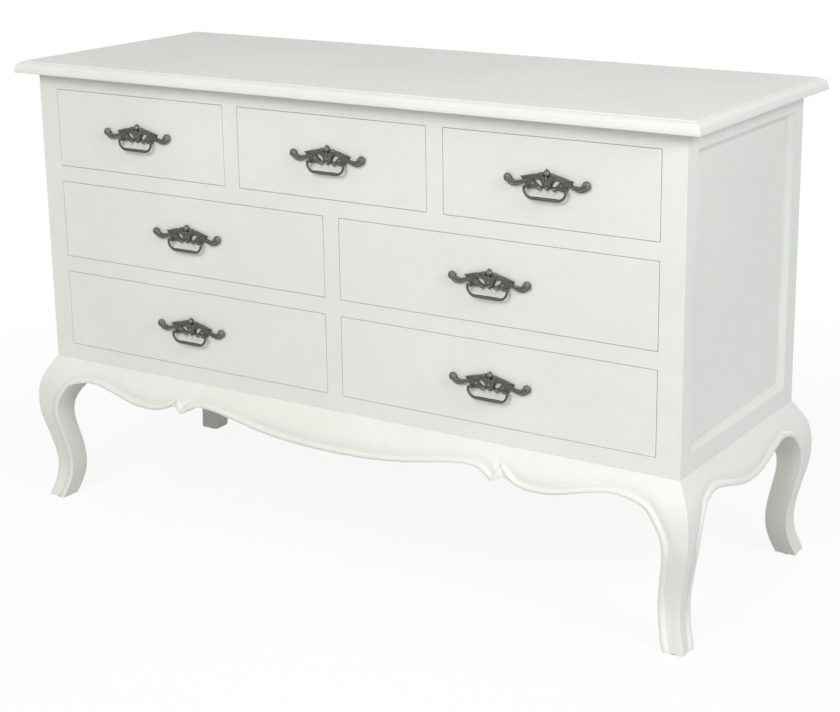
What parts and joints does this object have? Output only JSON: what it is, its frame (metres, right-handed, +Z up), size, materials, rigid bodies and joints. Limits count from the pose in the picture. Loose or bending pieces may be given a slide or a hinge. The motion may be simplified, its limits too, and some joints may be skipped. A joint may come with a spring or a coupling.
{
  "type": "chest of drawers",
  "caption": "Wide low painted chest of drawers with a moulded top, framed panelled sides, a scalloped apron, cabriole legs and cast plate-and-bail pulls.",
  "frame": {"origin": "on the floor, under the middle of the top board", "axes": "+Z up, +X to the right seen from the front, +Y from the drawer fronts to the back"},
  "size_m": [1.3, 0.49, 0.807],
  "materials": {
    "painted_wood": "satin off-white paint",
    "bare_wood": "planed, unfinished",
    "drawer_wood": "thin clear lacquer",
    "back_board": "plain board",
    "antique_pewter": "antiqued casting, rubbed on the high spots",
    "zinc_steel": "zinc plated",
    "glide_plastic": "matt"
  },
  "bodies": {
    "carcass": {"front_right_leg": "painted_wood", "front_left_leg": "painted_wood", "rear_right_leg": "painted_wood", "rear_left_leg": "painted_wood", "knee_blocks": "painted_wood", "front_apron": "painted_wood", "right_apron": "painted_wood", "left_apron": "painted_wood", "rear_apron": "painted_wood", "top_board": "painted_wood", "corner_posts": "painted_wood", "front_rails": "painted_wood", "front_muntins": "painted_wood", "side_rails": "painted_wood", "left_side_panel": "painted_wood", "right_side_panel": "painted_wood", "panel_mouldings": "painted_wood", "back_panel": "back_board", "rear_rails": "bare_wood", "drawer_runners": "bare_wood", "drawer_guides": "bare_wood", "drawer_kickers": "bare_wood", "drawer_stops": "bare_wood", "corner_blocks": "bare_wood", "foot_glides": "glide_plastic"},
    "top_left_drawer": {"top_left_drawer_front": "painted_wood", "top_left_drawer_box": "drawer_wood", "top_left_pull_plate": "antique_pewter", "top_left_pull_screws": "zinc_steel"},
    "top_left_bail": {"top_left_pull_bail": "antique_pewter"},
    "top_middle_drawer": {"top_middle_drawer_front": "painted_wood", "top_middle_drawer_box": "drawer_wood", "top_middle_pull_plate": "antique_pewter", "top_middle_pull_screws": "zinc_steel"},
    "top_middle_bail": {"top_middle_pull_bail": "antique_pewter"},
    "top_right_drawer": {"top_right_drawer_front": "painted_wood", "top_right_drawer_box": "drawer_wood", "top_right_pull_plate": "antique_pewter", "top_right_pull_screws": "zinc_steel"},
    "top_right_bail": {"top_right_pull_bail": "antique_pewter"},
    "middle_left_drawer": {"middle_left_drawer_front": "painted_wood", "middle_left_drawer_box": "drawer_wood", "middle_left_pull_plate": "antique_pewter", "middle_left_pull_screws": "zinc_steel"},
    "middle_left_bail": {"middle_left_pull_bail": "antique_pewter"},
    "middle_right_drawer": {"middle_right_drawer_front": "painted_wood", "middle_right_drawer_box": "drawer_wood", "middle_right_pull_plate": "antique_pewter", "middle_right_pull_screws": "zinc_steel"},
    "middle_right_bail": {"middle_right_pull_bail": "antique_pewter"},
    "bottom_left_drawer": {"bottom_left_drawer_front": "painted_wood", "bottom_left_drawer_box": "drawer_wood", "bottom_left_pull_plate": "antique_pewter", "bottom_left_pull_screws": "zinc_steel"},
    "bottom_left_bail": {"bottom_left_pull_bail": "antique_pewter"},
    "bottom_right_drawer": {"bottom_right_drawer_front": "painted_wood", "bottom_right_drawer_box": "drawer_wood", "bottom_right_pull_plate": "antique_pewter", "bottom_right_pull_screws": "zinc_steel"},
    "bottom_right_bail": {"bottom_right_pull_bail": "antique_pewter"}
  },
  "joints": [
    {"name": "top_left_drawer_slide", "type": "slide", "parent": "carcass", "child": "top_left_drawer", "axis": [0, -1, 0], "range_m": [0, 0.3]},
    {"name": "top_left_bail_hinge", "type": "hinge", "parent": "top_left_drawer", "child": "top_left_bail", "pos_m": [-0.39667, -0.2257, 0.68595], "axis": [-1, 0, 0], "range_deg": [0, 165]},
    {"name": "top_middle_drawer_slide", "type": "slide", "parent": "carcass", "child": "top_middle_drawer", "axis": [0, -1, 0], "range_m": [0, 0.3]},
    {"name": "top_middle_bail_hinge", "type": "hinge", "parent": "top_middle_drawer", "child": "top_middle_bail", "pos_m": [0, -0.2257, 0.68595], "axis": [-1, 0, 0], "range_deg": [0, 165]},
    {"name": "top_right_drawer_slide", "type": "slide", "parent": "carcass", "child": "top_right_drawer", "axis": [0, -1, 0], "range_m": [0, 0.3]},
    {"name": "top_right_bail_hinge", "type": "hinge", "parent": "top_right_drawer", "child": "top_right_bail", "pos_m": [0.39667, -0.2257, 0.68595], "axis": [-1, 0, 0], "range_deg": [0, 165]},
    {"name": "middle_left_drawer_slide", "type": "slide", "parent": "carcass", "child": "middle_left_drawer", "axis": [0, -1, 0], "range_m": [0, 0.3]},
    {"name": "middle_left_bail_hinge", "type": "hinge", "parent": "middle_left_drawer", "child": "middle_left_bail", "pos_m": [-0.2975, -0.2257, 0.52295], "axis": [-1, 0, 0], "range_deg": [0, 165]},
    {"name": "middle_right_drawer_slide", "type": "slide", "parent": "carcass", "child": "middle_right_drawer", "axis": [0, -1, 0], "range_m": [0, 0.3]},
    {"name": "middle_right_bail_hinge", "type": "hinge", "parent": "middle_right_drawer", "child": "middle_right_bail", "pos_m": [0.2975, -0.2257, 0.52295], "axis": [-1, 0, 0], "range_deg": [0, 165]},
    {"name": "bottom_left_drawer_slide", "type": "slide", "parent": "carcass", "child": "bottom_left_drawer", "axis": [0, -1, 0], "range_m": [0, 0.3]},
    {"name": "bottom_left_bail_hinge", "type": "hinge", "parent": "bottom_left_drawer", "child": "bottom_left_bail", "pos_m": [-0.2975, -0.2257, 0.35995], "axis": [-1, 0, 0], "range_deg": [0, 165]},
    {"name": "bottom_right_drawer_slide", "type": "slide", "parent": "carcass", "child": "bottom_right_drawer", "axis": [0, -1, 0], "range_m": [0, 0.3]},
    {"name": "bottom_right_bail_hinge", "type": "hinge", "parent": "bottom_right_drawer", "child": "bottom_right_bail", "pos_m": [0.2975, -0.2257, 0.35995], "axis": [-1, 0, 0], "range_deg": [0, 165]}
  ]
}
